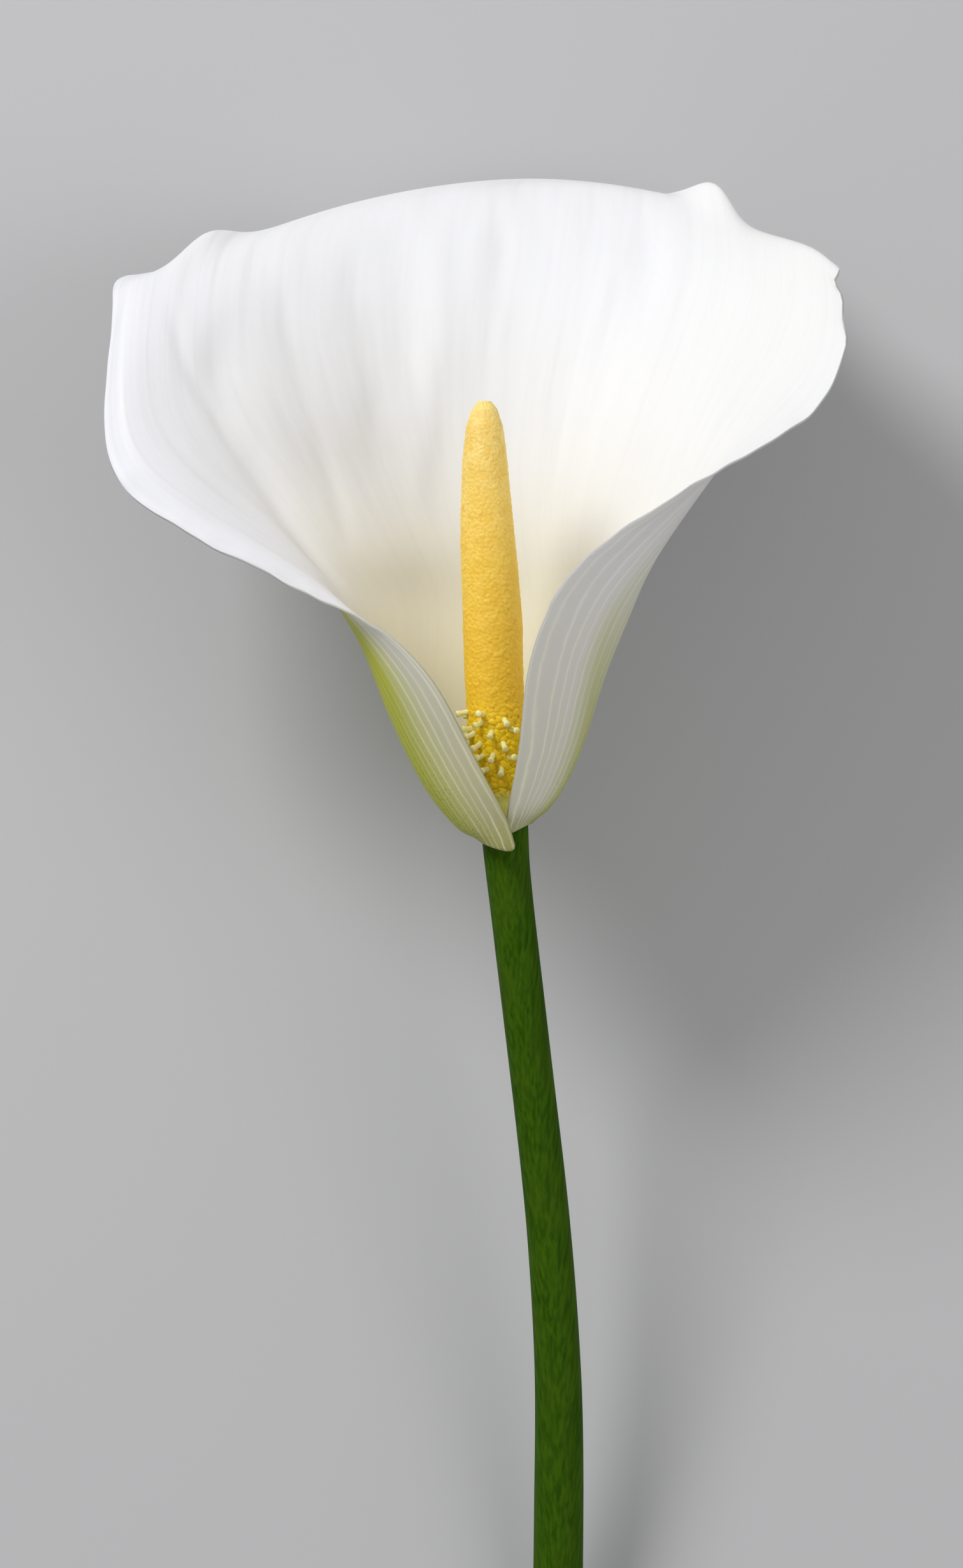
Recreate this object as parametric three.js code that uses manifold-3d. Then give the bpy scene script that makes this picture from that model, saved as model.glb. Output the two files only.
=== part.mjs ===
// Arum lily flower, picked with a length of its stem and laid on its back.
// Three pieces: the stem, the white spathe rolled round its top, and the yellow spadix inside.
//
// Everything is drawn upright first, in millimetres: x to the right as the open front is seen,
// y up along the flower from the top of the stem, z out of the open front. layMatrix then turns
// the flower on its back, so that the part has +Z up and +Y from the stem to the head.
import * as THREE from "three";
import { mergeVertices } from "three/addons/utils/BufferGeometryUtils.js";
import Module from "manifold-3d";

// Driving dimensions
const headTilt = THREE.MathUtils.degToRad(15.5); // slope of the stem as the flower lies
const floorDepth = 49.2; // the floor below the flower's axis, at the top of the stem

const stemLength = 172;
const stemTopHeight = 1.4; // the stem ends just inside the cup of the spathe
const stemSides = 20;
const stemSteps = 34;

const bladeThickness = 1.05;
const marginThickness = 0.7;
const bladeColumns = 28; // cells from the left margin to the right one
const bladeRows = 56; // cells from the base to the tip

const spadixLength = 78.7;
const spadixSides = 27; // a multiple of 3, so that the florets close round the spadix
const spadixRows = 66;
const floretRelief = 0.34;
const tipCrown = 0.5;
const footEnd = [0.01, 0.06]; // the bare foot ends and the florets start
const pollenStart = [0.24, 0.34]; // the seed-bearing part ends and the pollen-bearing part starts
const pistilRings = [0.09, 0.145, 0.2, 0.255]; // shares of the spadix's length
const pistilsPerRing = 7;
const pistilSides = 6;
const pistilProfile = [[-1, 0.55], [0.9, 0.45], [1.5, 0.8], [2.1, 0.6]]; // height, radius
const pistilCrown = 0.2;
const pistilScatter = { turn: 0.5, place: 0.018, lean: 0.5, leanDown: 0.2 };
const neighbourGap = 0.3;

// The spathe
// Its lower part is a cup that narrows onto the stem: level rings, from the left margin at the
// front round the back to the right margin. Angles are in degrees, 90 at the front and 270 at
// the back. The left margin is lifted off the ring so that it passes in front of the right one.
const cupRings = [
  { height: -0.9, slope: 0.27, centre: -0.6, radius: 5.45, left: 78.4, right: 449, lift: 3.2, drop: 2.6 },
  { height: 2.4, slope: 0.2, centre: -1.7, radius: 8.8, left: 83.7, right: 442.5, lift: 2.2, drop: 0.8 },
  { height: 7.6, slope: 0.05, centre: -2.9, radius: 12.7, left: 91.9, right: 435.5, lift: 1, drop: 0 },
  { height: 17.4, slope: 0, centre: -3.3, radius: 17.3, left: 106.4, right: 433.3, lift: 0, drop: 0 },
  { height: 29, slope: 0, centre: -3.8, radius: 21.5, left: 120.2, right: 432, lift: 0, drop: 0 },
];

// Its upper part is the open limb. Each row of points runs from the left margin, across the back wall,
// to the right margin, and the rows climb to the crest, turn over it and end in the tip.
const limbRows = [
  [[-24.5, 38.6, 15], [-30.8, 40, 1], [-27, 41.5, -14.5], [-14.8, 42, -24.2], [0.5, 42, -25.2],
    [14.8, 42, -18.2], [22.5, 41.5, -3.4], [19, 41, 12.5], [6.4, 41.2, 24]],
  [[-34.7, 43.8, 11.5], [-37, 47.5, -1], [-33, 50.5, -13.5], [-19, 52.8, -24.3], [-0.8, 53.5, -27.4],
    [15, 53, -21.5], [26, 52.5, -8.5], [26.5, 51.8, 9], [14, 51.8, 25]],
  [[-48.2, 50.9, 8.5], [-48.2, 56.5, -2.5], [-41, 62, -14.5], [-24.5, 65.5, -26.5], [-2.5, 66.5, -31],
    [17.5, 66, -24.5], [31, 64.5, -11], [35.5, 63, 6], [28.4, 61.8, 21]],
  [[-61.9, 58, 5], [-60, 65.5, -3], [-49.5, 73.5, -14.5], [-29, 79, -28], [-2.5, 80.5, -35],
    [21.5, 80, -29], [36.3, 77, -15.5], [43, 73, 0], [41.9, 69.5, 14.5]],
  [[-74, 67.2, -0.5], [-68, 76.5, -7], [-54.8, 86.5, -18.5], [-32, 93, -32.5], [-1, 95.5, -41],
    [26, 94.5, -36], [43, 90.5, -23], [52.3, 84.5, -8], [55.6, 77.8, 6.5]],
  [[-76.5, 84.5, -11], [-69.3, 92.5, -16.5], [-55, 100.5, -27], [-32, 106.5, -41], [1, 109, -50],
    [29.5, 108, -45.5], [47, 104, -33], [57.5, 98.5, -18], [62.6, 90.8, -4]],
  [[-75.1, 100.3, -25], [-67.5, 104, -29.5], [-53, 109.2, -39.5], [-30.5, 115, -53], [2.5, 119.5, -61.5],
    [30, 118, -57.5], [46, 112.8, -46.5], [56.5, 109.6, -33], [61.8, 105.6, -20]],
  [[-71.8, 105.4, -35.5], [-62.5, 106, -41], [-49, 111.6, -50], [-27, 118.5, -61.5], [3.5, 122.6, -68.5],
    [28.5, 120.2, -65], [42, 114.5, -56], [51.5, 109.5, -47], [58.5, 101.5, -41]],
  [[-54, 111.4, -52.5], [-49.2, 111.2, -55.8], [-40, 113.8, -61.5], [-21, 119.6, -70.5], [4.5, 122.6, -76],
    [23.5, 120, -73.5], [31, 118.5, -69.5], [38, 116.5, -63.5], [43, 113.5, -60]],
  [[-38.5, 109, -73], [-33, 108.5, -80], [-23, 110.5, -82.8], [-9, 115, -82], [5, 117, -81],
    [17, 115, -82], [28, 110.5, -82.8], [35, 108.5, -79.6], [37.5, 110.5, -72.5]],
  [[-18, 100.5, -80.4], [-12.5, 103, -81.2], [-5.5, 105.5, -81], [1, 107, -80], [6, 107.5, -79.5],
    [11, 107, -80], [17, 105.5, -81], [23, 103, -81.2], [28, 101, -80.2]],
  [[4.6, 94, -75], [5.4, 94, -75.3], [6.2, 94, -75.5], [7, 94, -75.6], [7.8, 94, -75.7],
    [8.6, 94, -75.6], [9.4, 94, -75.5], [10.2, 94, -75.3], [11, 94, -75]],
  [[7.4, 85, -71.4], [7.6, 84.8, -71.5], [7.8, 84.6, -71.6], [8, 84.5, -71.6], [8.2, 84.5, -71.6],
    [8.4, 84.5, -71.6], [8.6, 84.6, -71.6], [8.8, 84.8, -71.5], [9, 85, -71.4]],
];

// How far the margins roll outwards, in millimetres, at each ring and row from base to tip.
const leftRoll = [0, 0.3, 0.6, 0.9, 1.1, 1.1, 1.3, 1.6, 2, 2.2, 2, 1.2, 0.6, 0.3, 0, 0, 0, 0];
const rightRoll = [0, 0.3, 0.6, 0.9, 1.1, 1.4, 1.4, 1.1, 0.8, 0.8, 0.5, 0, 0, 0, 0, 0, 0, 0];
const rollWidth = 0.16; // share of the half blade that rolls
const cornerAcross = 0.03; // the two free corners at the base are rounded: shares of the blade
const cornerAlong = 0.012;

// The rim and the base edge are gently waved. Each wave has its place and its reach across and
// along the blade, as shares of it, and how far it moves the blade, in millimetres.
const rimWaves = [
  { across: 0, along: 0, wide: 0.07, tall: 0.04, move: [0.2, -1.3, 0] },
  { across: 0.14, along: 0, wide: 0.07, tall: 0.03, move: [0, 0.8, 0] },
  { across: 1, along: 0, wide: 0.1, tall: 0.03, move: [0, -1, 0] },
  { across: 0, along: 0.724, wide: 0.07, tall: 0.014, move: [0, -2.4, 0] },
  { across: 0.2, along: 0.69, wide: 0.045, tall: 0.035, move: [0, 4.1, 0] },
  { across: 0.695, along: 0.692, wide: 0.036, tall: 0.04, move: [0.4, 5.4, 0] },
  { across: 0, along: 0.444, wide: 0.06, tall: 0.018, move: [-1, 0, 0] },
  { across: 1, along: 0.592, wide: 0.035, tall: 0.007, move: [0.55, 0, 0] },
  { across: 1, along: 0.607, wide: 0.035, tall: 0.0055, move: [-0.4, 0, 0] },
  { across: 1, along: 0.629, wide: 0.035, tall: 0.0055, move: [-0.8, 0, 0] },
  { across: 1, along: 0.642, wide: 0.035, tall: 0.006, move: [0.5, 0.25, 0] },
];

const smoothStep = (from, to, value) => THREE.MathUtils.smoothstep(value, from, to);
const smoothFall = (from, to, value) => 1 - smoothStep(from, to, value);

function cupRow(ring) {
  const row = [];
  const points = 9;
  for (let i = 0; i < points; i += 1) {
    const across = i / (points - 1);
    const angle = THREE.MathUtils.degToRad(THREE.MathUtils.lerp(ring.left, ring.right, across));
    const free = smoothFall(0, 0.3, across); // 1 at the left margin, 0 where the ring is closed
    const radius = ring.radius + ring.lift * free;
    const x = radius * Math.cos(angle);
    const y = ring.height + ring.slope * x - ring.drop * free;
    row.push(new THREE.Vector3(ring.centre + x, y, radius * Math.sin(angle)));
  }
  return row;
}

// Turns points on a line into the control points of the smooth cubic curve through them.
function controlPoints(points) {
  const control = points.map((point) => point.clone());
  const passes = 24; // enough to settle
  for (let pass = 0; pass < passes; pass += 1) {
    for (let i = 1; i < points.length - 1; i += 1) {
      control[i].copy(points[i]).multiplyScalar(6).sub(control[i - 1]).sub(control[i + 1]).divideScalar(4);
    }
  }
  return control;
}

const limbPoints = limbRows.map((row) => row.map((point) => new THREE.Vector3(...point)));
const guideRows = [...cupRings.map(cupRow), ...limbPoints];
const netRows = guideRows.map(controlPoints);
const netColumns = netRows[0].map((_, column) => controlPoints(netRows.map((row) => row[column])));

// The four weights of a uniform cubic curve at a share t of one span.
function cubicWeights(t) {
  const r = 1 - t;
  const inner = (u) => (3 * u * u * u - 6 * u * u + 4) / 6;
  return [r * r * r / 6, inner(t), inner(r), t * t * t / 6];
}

// A point of a smooth line at place s, counted in control points from its start.
function alongLine(line, s) {
  const last = line.length - 1;
  const start = Math.min(Math.floor(s), last - 1);
  const weights = cubicWeights(s - start);
  const point = new THREE.Vector3();
  weights.forEach((weight, k) => {
    const i = start - 1 + k;
    if (i < 0) point.addScaledVector(line[0], 2 * weight).addScaledVector(line[1], -weight);
    else if (i > last) point.addScaledVector(line[last], 2 * weight).addScaledVector(line[last - 1], -weight);
    else point.addScaledVector(line[i], weight);
  });
  return point;
}

// The value of a list of numbers at place s, straight between its entries.
function alongList(list, s) {
  const start = Math.min(Math.floor(s), list.length - 2);
  return THREE.MathUtils.lerp(list[start], list[start + 1], s - start);
}

// Laying the flower on its back turns it about the x axis.
const layMatrix = new THREE.Matrix4().makeRotationX(headTilt);

// A point in the middle of the blade. across and along run from 0 to 1.
function bladeMiddle(across, along) {
  const place = along * (guideRows.length - 1);
  const line = netColumns.map((column) => alongLine(column, place));
  return alongLine(line, across * (line.length - 1)).applyMatrix4(layMatrix);
}

function halfThickness(across) {
  const side = Math.abs(2 * across - 1);
  return THREE.MathUtils.lerp(bladeThickness, marginThickness, side ** 6) / 2;
}

// The unit vector that points into the flower from a place on the blade.
function inward(middle, across, along) {
  const step = 0.002;
  const left = middle(Math.max(across - step, 0), along);
  const right = middle(Math.min(across + step, 1), along);
  const below = middle(across, Math.max(along - step, 0));
  const above = middle(across, Math.min(along + step, 1));
  return right.sub(left).cross(above.sub(below)).normalize();
}

// Lifts the base edge in a quarter circle next to each margin.
function pastCorner(across, along) {
  const reach = Math.min(Math.min(across, 1 - across) / cornerAcross, 1);
  const lifted = cornerAlong * (1 - Math.sqrt(1 - (1 - reach) ** 2));
  return lifted + along * (1 - lifted);
}

// How far the waves of the rim move a place on the blade.
function waved(across, along) {
  const moved = new THREE.Vector3();
  rimWaves.forEach((wave) => {
    const away = ((across - wave.across) / wave.wide) ** 2 + ((along - wave.along) / wave.tall) ** 2;
    moved.addScaledVector(new THREE.Vector3(...wave.move), Math.exp(-away));
  });
  return moved.applyMatrix4(layMatrix);
}

// The margins roll outwards, and where the back would sink into the floor it is pressed flat.
function pressedMiddle(across, share) {
  const along = pastCorner(across, share);
  const point = bladeMiddle(across, along);
  const place = along * (guideRows.length - 1);
  const leftShare = smoothFall(0, rollWidth, across * 2);
  const rightShare = smoothFall(0, rollWidth, (1 - across) * 2);
  const roll = alongList(leftRoll, place) * leftShare + alongList(rightRoll, place) * rightShare;
  if (roll > 0) point.addScaledVector(inward(bladeMiddle, across, along), -roll);
  point.add(waved(across, along));
  point.z = Math.max(point.z, halfThickness(across) - floorDepth);
  return point;
}

// A thin closed blade: an inner and an outer face with the same cells, joined round the margin.
function bladeGeometry() {
  const inner = [];
  const outer = [];
  for (let j = 0; j <= bladeRows; j += 1) {
    for (let i = 0; i <= bladeColumns; i += 1) {
      const across = i / bladeColumns;
      const along = j / bladeRows;
      const middle = pressedMiddle(across, along);
      const normal = inward(pressedMiddle, across, along).multiplyScalar(halfThickness(across));
      inner.push(middle.clone().add(normal));
      outer.push(middle.clone().sub(normal));
    }
  }
  outer.forEach((point) => { point.z = Math.max(point.z, -floorDepth); });
  const at = (i, j) => j * (bladeColumns + 1) + i;
  const other = inner.length; // added to an inner vertex's number, gives the outer one
  const faces = [];
  for (let j = 0; j < bladeRows; j += 1) {
    for (let i = 0; i < bladeColumns; i += 1) {
      const [a, b, c, d] = [at(i, j), at(i + 1, j), at(i + 1, j + 1), at(i, j + 1)];
      faces.push(a, b, c, a, c, d);
      faces.push(a + other, c + other, b + other, a + other, d + other, c + other);
    }
  }
  const rim = [];
  for (let i = 0; i < bladeColumns; i += 1) rim.push(at(i, 0));
  for (let j = 0; j < bladeRows; j += 1) rim.push(at(bladeColumns, j));
  for (let i = bladeColumns; i > 0; i -= 1) rim.push(at(i, bladeRows));
  for (let j = bladeRows; j > 0; j -= 1) rim.push(at(0, j));
  rim.forEach((a, k) => {
    const b = rim[(k + 1) % rim.length];
    faces.push(b, a, a + other, b, a + other, b + other);
  });
  return new THREE.BufferGeometry().setFromPoints([...inner, ...outer]).setIndex(faces);
}

// A closed skin over rings of points, with a point at each end. Rings run anticlockwise as
// seen from the last one.
function closedSkin(rings, firstPoint, lastPoint) {
  const sides = rings[0].length;
  const points = [...rings.flat(), firstPoint, lastPoint];
  const first = points.length - 2;
  const last = points.length - 1;
  const faces = [];
  for (let i = 0; i < sides; i += 1) {
    const next = (i + 1) % sides;
    faces.push(first, next, i);
    for (let j = 0; j < rings.length - 1; j += 1) {
      const [a, b] = [j * sides + i, j * sides + next];
      const [c, d] = [b + sides, a + sides];
      if (j % 2) faces.push(a, b, c, a, c, d);
      else faces.push(a, b, d, b, c, d);
    }
    const top = (rings.length - 1) * sides;
    faces.push(last, top + i, top + next);
  }
  return new THREE.BufferGeometry().setFromPoints(points).setIndex(faces);
}

// The stem
// Its middle line, from its top to the cut end, and its radius along it. The lower edge of the
// cut end all but touches the floor.
const stemRadii = [4.5, 4.3, 4.1, 4.05, 4.15, 4.35, 4.65, 4.75];
const cutEndHeight = stemTopHeight - stemLength;
const cutEndClearance = 0.03;
const cutEndDepth = stemRadii.at(-1) + cutEndClearance
  - floorDepth / Math.cos(headTilt) - cutEndHeight * Math.tan(headTilt);
const stemLine = new THREE.CatmullRomCurve3([
  new THREE.Vector3(-1, stemTopHeight, 0),
  new THREE.Vector3(-0.6, -4.8, 0),
  new THREE.Vector3(0.7, -17, -0.2),
  new THREE.Vector3(4.7, -51, -0.6),
  new THREE.Vector3(7.4, -76, -0.8),
  new THREE.Vector3(9, -100, -0.8),
  new THREE.Vector3(9.3, -125, -0.6),
  new THREE.Vector3(8.8, cutEndHeight, cutEndDepth),
]);

function stemGeometry() {
  const rings = [];
  for (let j = 0; j <= stemSteps; j += 1) {
    const share = 1 - j / stemSteps; // the rings climb from the cut end
    const centre = stemLine.getPointAt(share);
    const up = stemLine.getTangentAt(share).negate();
    const side = new THREE.Vector3(1, 0, 0).addScaledVector(up, -up.x).normalize();
    const front = new THREE.Vector3().crossVectors(side, up);
    const radius = alongList(stemRadii, share * (stemRadii.length - 1));
    const ring = [];
    for (let i = 0; i < stemSides; i += 1) {
      const angle = (2 * Math.PI * i) / stemSides;
      const point = centre.clone().addScaledVector(side, radius * Math.cos(angle));
      ring.push(point.addScaledVector(front, -radius * Math.sin(angle)));
    }
    rings.push(ring);
  }
  const skin = closedSkin(rings, stemLine.getPoint(1), stemLine.getPoint(0));
  return skin.applyMatrix4(layMatrix);
}

// The spadix
// Its middle line leans and bends a little. Its radius is given at shares of its length: a narrow
// foot, then the seed-bearing part, then the long taper of the pollen-bearing part.
const spadixFootHeight = stemTopHeight + neighbourGap;
const spadixLine = new THREE.CatmullRomCurve3([
  new THREE.Vector3(-0.8, spadixFootHeight, 0),
  new THREE.Vector3(-2.1, spadixFootHeight + 0.16 * spadixLength, 0),
  new THREE.Vector3(-2.9, spadixFootHeight + 0.34 * spadixLength, -0.2),
  new THREE.Vector3(-3.3, spadixFootHeight + 0.5 * spadixLength, -0.5),
  new THREE.Vector3(-4.1, spadixFootHeight + 0.68 * spadixLength, -0.9),
  new THREE.Vector3(-4.6, spadixFootHeight + 0.87 * spadixLength, -1.3),
  new THREE.Vector3(-4.7, spadixFootHeight + spadixLength, -1.5),
]);
const spadixRadii = new THREE.CatmullRomCurve3([
  [0, 3.7], [0.05, 4.5], [0.15, 5.3], [0.3, 5.6], [0.46, 5.75], [0.67, 5.25], [0.86, 4.35], [0.94, 3.35],
  [0.98, 2.1], [1, 0.8],
].map(([share, radius]) => new THREE.Vector3(share, radius, 0)));

// The place on the spadix's skin at a share of its length, an angle and a height off the skin.
function spadixPlace(share, angle, off) {
  const sample = spadixRadii.getPoint(share);
  const centre = spadixLine.getPoint(sample.x);
  const up = spadixLine.getTangent(sample.x);
  const side = new THREE.Vector3(1, 0, 0).addScaledVector(up, -up.x).normalize();
  const front = new THREE.Vector3().crossVectors(side, up);
  const outwards = side.multiplyScalar(Math.cos(angle)).addScaledVector(front, Math.sin(angle));
  return centre.addScaledVector(outwards, sample.y + off);
}

// Florets stand in rows, each between two of the row below: every third point of the skin is
// the crown of one.
function spadixBody() {
  const rings = [];
  for (let j = 0; j <= spadixRows; j += 1) {
    const share = j / spadixRows;
    const relief = floretRelief * (1 + smoothFall(...pollenStart, share)) * smoothStep(...footEnd, share);
    const odd = j % 2;
    const ring = [];
    for (let i = 0; i < spadixSides; i += 1) {
      const angle = (-2 * Math.PI * (i + odd / 2)) / spadixSides;
      const crown = (i + 2 * odd) % 3 === 0;
      ring.push(spadixPlace(share, angle, crown ? relief : 0));
    }
    rings.push(ring);
  }
  const top = spadixLine.getPoint(1).add(new THREE.Vector3(0, tipCrown, 0));
  return closedSkin(rings, spadixLine.getPoint(0), top);
}

// A pistil is a short stalk with a knob, its root sunk in the spadix. Each pair is a height
// along it and the radius there.
function pistil(root, direction) {
  const turn = new THREE.Quaternion().setFromUnitVectors(new THREE.Vector3(0, 0, 1), direction);
  const rings = pistilProfile.map(([height, radius]) => {
    const ring = [];
    for (let i = 0; i < pistilSides; i += 1) {
      const angle = (2 * Math.PI * i) / pistilSides;
      ring.push(new THREE.Vector3(radius * Math.cos(angle), radius * Math.sin(angle), height));
    }
    return ring;
  });
  const bottom = new THREE.Vector3(0, 0, pistilProfile[0][0]);
  const top = new THREE.Vector3(0, 0, pistilProfile.at(-1)[0] + pistilCrown);
  return closedSkin(rings, bottom, top).applyQuaternion(turn).translate(root.x, root.y, root.z);
}

// A seeded draw from 0 to 1, the same on every run.
const drawFactor = 16807;
const drawLimit = 2147483647;
let seed = 20;
function draw() {
  seed = (seed * drawFactor) % drawLimit;
  return seed / drawLimit;
}

const wasm = await Module();
wasm.setup();

function solid(geometry) {
  const bare = mergeVertices(new THREE.BufferGeometry()
    .setAttribute("position", geometry.getAttribute("position"))
    .setIndex(geometry.index));
  return new wasm.Manifold(new wasm.Mesh({
    numProp: 3,
    vertProperties: bare.getAttribute("position").array,
    triVerts: new Uint32Array(bare.index.array),
  }));
}

function geometryOf(joined) {
  const mesh = joined.getMesh();
  return new THREE.BufferGeometry()
    .setAttribute("position", new THREE.BufferAttribute(mesh.vertProperties, 3))
    .setIndex(new THREE.BufferAttribute(mesh.triVerts, 1));
}

function spadixGeometry() {
  let joined = solid(spadixBody());
  pistilRings.forEach((share, row) => {
    for (let i = 0; i < pistilsPerRing; i += 1) {
      const turn = i + (row % 2) / 2 + pistilScatter.turn * (draw() - 0.5);
      const angle = (2 * Math.PI * turn) / pistilsPerRing;
      const place = share + pistilScatter.place * (draw() - 0.5);
      const root = spadixPlace(place, angle, 0);
      const direction = spadixPlace(place, angle, 1).sub(root);
      direction.y += pistilScatter.lean * (draw() - pistilScatter.leanDown);
      joined = joined.add(solid(pistil(root, direction.normalize())));
    }
  });
  return geometryOf(joined).applyMatrix4(layMatrix);
}

const green = new THREE.MeshStandardMaterial({ color: 0x2f5410, roughness: 0.42, metalness: 0 });
const white = new THREE.MeshStandardMaterial({ color: 0xf3f3f0, roughness: 0.5, metalness: 0 });
const yellow = new THREE.MeshStandardMaterial({ color: 0xe3b03c, roughness: 0.65, metalness: 0 });

function named(name, geometry, material) {
  const mesh = new THREE.Mesh(geometry, material);
  mesh.name = name;
  return mesh;
}

const flower = new THREE.Group();
flower.add(named("stem", stemGeometry(), green));
flower.add(named("spathe", bladeGeometry(), white));
flower.add(named("spadix", spadixGeometry(), yellow));

// The origin is under the middle of the flower, on the surface that it lies on.
const box = new THREE.Box3().setFromObject(flower);
const middle = box.getCenter(new THREE.Vector3());
flower.position.set(-middle.x, -middle.y, floorDepth);

export default flower;
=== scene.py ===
import math

import bmesh
import bpy
import numpy as np
from mathutils import Matrix, Vector
from mathutils.kdtree import KDTree


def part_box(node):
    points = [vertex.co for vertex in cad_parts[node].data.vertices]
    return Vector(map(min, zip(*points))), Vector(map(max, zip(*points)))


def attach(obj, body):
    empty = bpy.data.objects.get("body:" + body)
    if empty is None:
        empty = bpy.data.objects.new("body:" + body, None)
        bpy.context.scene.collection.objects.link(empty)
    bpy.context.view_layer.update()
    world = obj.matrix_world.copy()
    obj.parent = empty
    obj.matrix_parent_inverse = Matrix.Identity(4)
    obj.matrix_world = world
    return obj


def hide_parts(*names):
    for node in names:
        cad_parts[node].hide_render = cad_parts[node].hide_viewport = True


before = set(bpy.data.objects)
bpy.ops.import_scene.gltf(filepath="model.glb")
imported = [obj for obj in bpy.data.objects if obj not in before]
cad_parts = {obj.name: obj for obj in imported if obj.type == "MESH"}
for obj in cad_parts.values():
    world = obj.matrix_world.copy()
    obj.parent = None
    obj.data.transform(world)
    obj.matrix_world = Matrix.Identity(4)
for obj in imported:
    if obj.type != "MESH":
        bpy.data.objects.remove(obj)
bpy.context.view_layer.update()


# The spathe
# One white leaf about a millimetre thick, rolled into a funnel with its left margin in front of
# the right one. It flares into an open limb whose rim turns back and ends in a short cusp. Its
# points are drawn upright in millimetres, from the top of the stem: x to the right, y up, z
# towards the eye. Laying the flower on its back then leans them by the slope of the stem.
mm = 0.001
head_tilt = math.radians(15.5)
floor_depth = 49.2  # the floor under the stem's top, square to the floor

# Level rings of the cup: height, slope, centre, radius, left and right margin in degrees, and how
# far the left margin is lifted and dropped to pass in front of the right one.
cup_rings = [
    (-0.9, 0.27, -0.6, 5.45, 78.4, 449, 3.2, 2.6),
    (2.4, 0.2, -1.25, 8.5, 85.9, 445.3, 2.2, 0.8),
    (7.6, 0.05, -2.45, 12.55, 93.8, 437.4, 1, 0),
    (17.4, 0, -3.3, 17.3, 106.4, 433.3, 0, 0),
    (29, 0, -3.8, 21.5, 120.2, 432, 0, 0),
]
# Rows of the limb, each from the left margin across the back wall to the right margin.
limb_rows = [
    [(-24.5, 38.6, 15), (-30.8, 40, 1), (-27, 41.5, -14.5), (-14.8, 42, -24.2), (0.5, 42, -25.2),
     (14.8, 42, -18.2), (22.5, 41.5, -3.4), (19, 41, 12.5), (6.4, 41.2, 24)],
    [(-34.7, 43.8, 11.5), (-37, 47.5, -1), (-33, 50.5, -13.5), (-19, 52.8, -24.3), (-0.8, 53.5, -27.4),
     (15, 53, -21.5), (26, 52.5, -8.5), (26.5, 51.8, 9), (14, 51.8, 25)],
    [(-48.2, 50.9, 8.5), (-48.2, 56.5, -2.5), (-41, 62, -14.5), (-24.5, 65.5, -26.5), (-2.5, 66.5, -31),
     (17.5, 66, -24.5), (31, 64.5, -11), (35.5, 63, 6), (28.4, 61.8, 21)],
    [(-61.9, 58, 5), (-60, 65.5, -3), (-49.5, 73.5, -14.5), (-29, 79, -28), (-2.5, 80.5, -35),
     (21.5, 80, -29), (36.3, 77, -15.5), (43, 73, 0), (41.9, 69.5, 14.5)],
    [(-74, 67.2, -0.5), (-68, 76.5, -7), (-54.8, 86.5, -18.5), (-32, 93, -32.5), (-1, 95.5, -41),
     (26, 94.5, -36), (43, 90.5, -23), (52.3, 84.5, -8), (55.6, 77.8, 6.5)],
    [(-76.5, 84.5, -11), (-69.3, 92.5, -16.5), (-55, 100.5, -27), (-32, 106.5, -41), (1, 109, -50),
     (29.5, 108, -45.5), (47, 104, -33), (57.5, 98.5, -18), (62.6, 90.8, -4)],
    [(-75.1, 100.3, -25), (-67.5, 104, -29.5), (-53, 109.2, -39.5), (-30.5, 115, -53), (2.5, 119.5, -61.5),
     (30, 118, -57.5), (46, 112.8, -46.5), (56.5, 109.6, -33), (61.8, 105.6, -20)],
    [(-71.8, 105.4, -35.5), (-62.5, 106, -41), (-49, 111.6, -50), (-27, 118.5, -61.5), (3.5, 122.6, -68.5),
     (28.5, 120.2, -65), (42, 114.5, -56), (51.5, 109.5, -47), (58.5, 101.5, -41)],
    [(-54, 111.4, -52.5), (-49.2, 111.2, -55.8), (-40, 113.8, -61.5), (-21, 119.6, -70.5), (4.5, 122.6, -76),
     (23.5, 120, -73.5), (31, 118.5, -69.5), (38, 116.5, -63.5), (43, 113.5, -60)],
    [(-38.5, 109, -73), (-33, 108.5, -80), (-23, 110.5, -82.8), (-9, 115, -82), (5, 117, -81),
     (17, 115, -82), (28, 110.5, -82.8), (35, 108.5, -79.6), (37.5, 110.5, -72.5)],
    [(-18, 100.5, -80.4), (-12.5, 103, -81.2), (-5.5, 105.5, -81), (1, 107, -80), (6, 107.5, -79.5),
     (11, 107, -80), (17, 105.5, -81), (23, 103, -81.2), (28, 101, -80.2)],
    [(4.6, 94, -75), (5.4, 94, -75.3), (6.2, 94, -75.5), (7, 94, -75.6), (7.8, 94, -75.7),
     (8.6, 94, -75.6), (9.4, 94, -75.5), (10.2, 94, -75.3), (11, 94, -75)],
    [(7.4, 85, -71.4), (7.6, 84.8, -71.5), (7.8, 84.6, -71.6), (8, 84.5, -71.6), (8.2, 84.5, -71.6),
     (8.4, 84.5, -71.6), (8.6, 84.6, -71.6), (8.8, 84.8, -71.5), (9, 85, -71.4)],
]
# How far the left and the right margin roll outwards at each ring and row, from base to tip.
left_roll = [0, 0.3, 0.6, 0.9, 1.1, 1.1, 1.3, 1.6, 2, 2.2, 2, 1.2, 0.6, 0.3, 0, 0, 0, 0]
right_roll = [0, 0.3, 0.6, 0.9, 1.1, 1.4, 1.4, 1.1, 0.8, 0.8, 0.5, 0, 0, 0, 0, 0, 0, 0]
roll_width = 0.16  # share of the half blade that rolls
corner_across, corner_along = 0.03, 0.012  # the free corners at the base are rounded
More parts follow.
